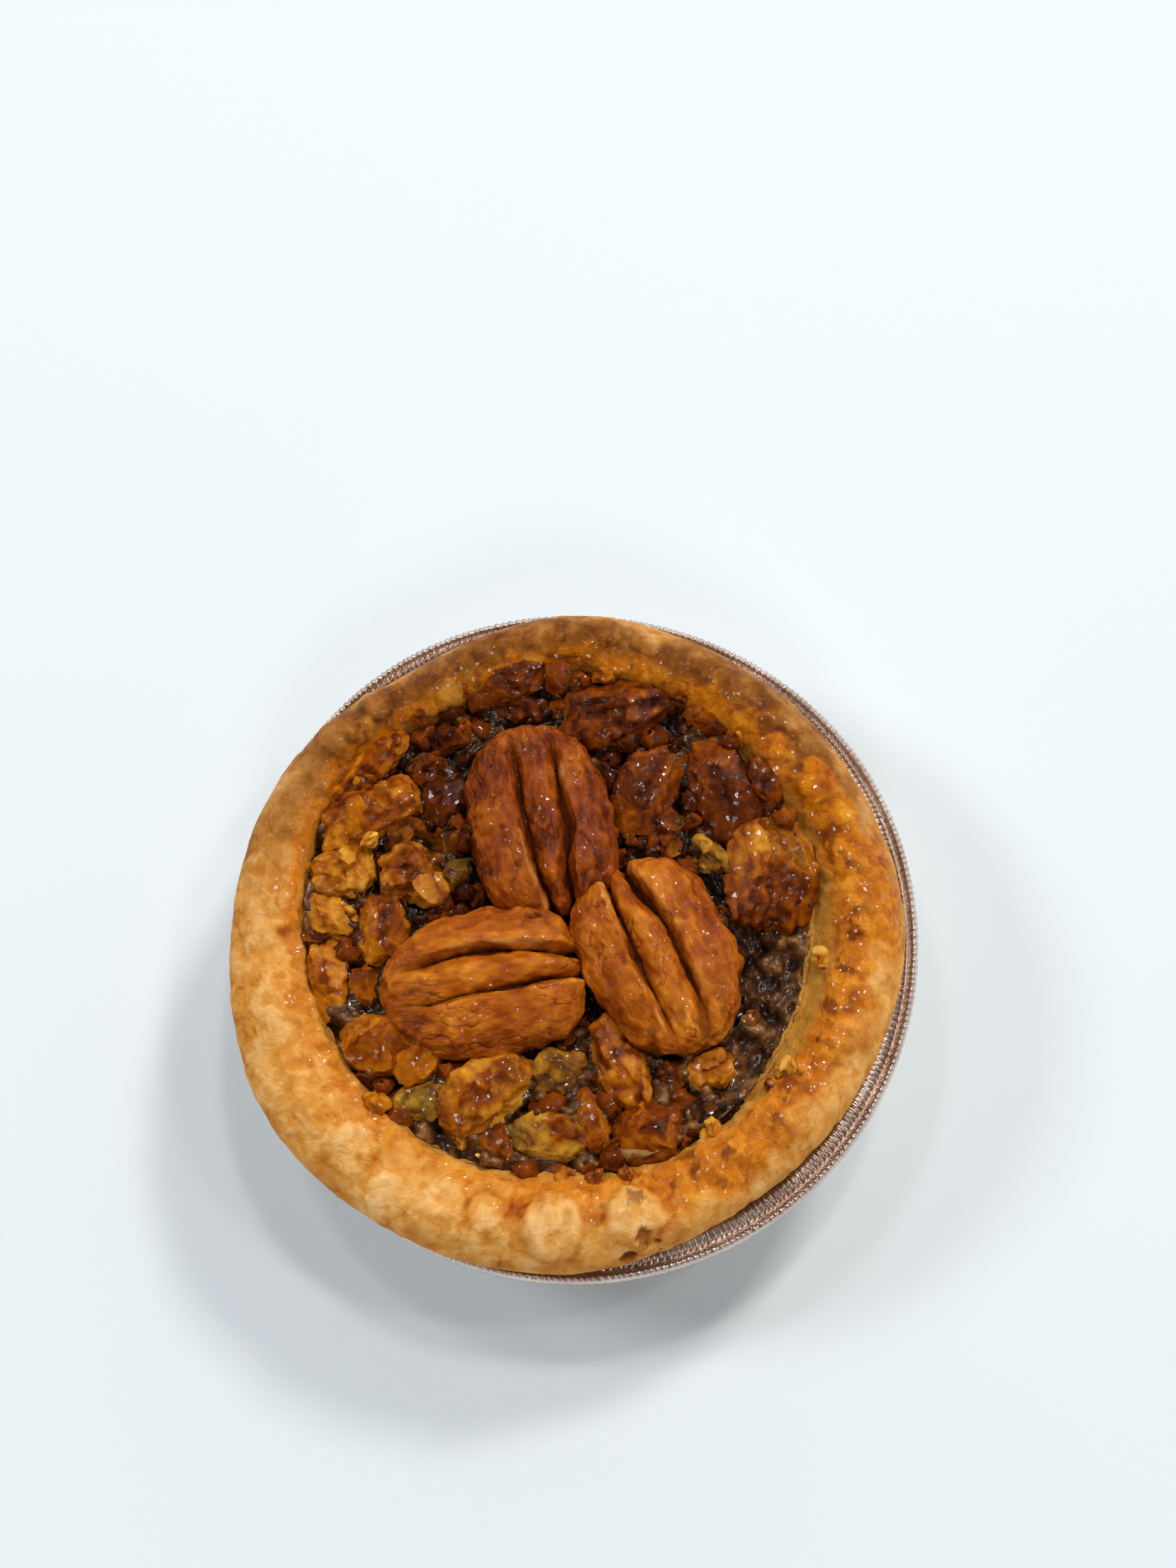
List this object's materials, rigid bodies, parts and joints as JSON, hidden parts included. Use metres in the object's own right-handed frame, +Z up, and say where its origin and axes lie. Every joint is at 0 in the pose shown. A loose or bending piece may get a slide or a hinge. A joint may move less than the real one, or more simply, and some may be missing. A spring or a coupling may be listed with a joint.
{
  "type": "pecan pie",
  "caption": "Small round pecan pie in a pleated foil tin: a thick uneven golden pastry rim round a dark sticky filling, topped with pecan halves and broken pecans.",
  "frame": {"origin": "centre of the flat base of the foil tin", "axes": "+Z up out of the open top of the tin, +X to the right and +Y away from a viewer who sees the single half that lies nearest the far side at the top"},
  "size_m": [0.088, 0.088, 0.0305],
  "materials": {
    "foil": "bright crimped foil",
    "pastry": "baked shortcrust, satin where glazed",
    "filling": "sticky dark syrup",
    "pecan_skin": "satin wrinkled skin",
    "pecan_meat": "glazed broken nut"
  },
  "bodies": {
    "root": {"foil_tin": "foil", "crust": "pastry", "filling": "filling", "pecan_half_1": "pecan_skin", "pecan_half_2": "pecan_skin", "pecan_half_3": "pecan_skin", "pecan_chunk_01": "pecan_meat", "pecan_chunk_02": "pecan_meat", "pecan_chunk_03": "pecan_meat", "pecan_chunk_04": "pecan_meat", "pecan_chunk_05": "pecan_meat", "pecan_chunk_06": "pecan_meat", "pecan_chunk_07": "pecan_meat", "pecan_chunk_08": "pecan_meat", "pecan_chunk_09": "pecan_meat", "pecan_chunk_10": "pecan_meat", "pecan_chunk_11": "pecan_meat", "pecan_chunk_12": "pecan_meat", "pecan_chunk_13": "pecan_meat", "pecan_chunk_14": "pecan_meat", "pecan_chunk_15": "pecan_meat", "pecan_chunk_16": "pecan_meat", "pecan_chunk_17": "pecan_meat", "pecan_chunk_18": "pecan_meat", "pecan_chunk_19": "pecan_meat", "pecan_chunk_20": "pecan_meat", "pecan_chunk_21": "pecan_meat", "pecan_chunk_22": "pecan_meat", "pecan_chunk_23": "pecan_meat", "pecan_chunk_24": "pecan_meat", "pecan_chunk_25": "pecan_meat", "pecan_chunk_26": "pecan_meat", "pecan_chunk_27": "pecan_meat", "pecan_chunk_28": "pecan_meat", "pecan_chunk_29": "pecan_meat", "pecan_chunk_30": "pecan_meat", "pecan_chunk_31": "pecan_meat", "pecan_chunk_32": "pecan_meat", "pecan_chunk_33": "pecan_meat", "pecan_chunk_34": "pecan_meat", "pecan_chunk_35": "pecan_meat", "pecan_chunk_36": "pecan_meat", "pecan_chunk_37": "pecan_meat"}
  },
  "joints": []
}
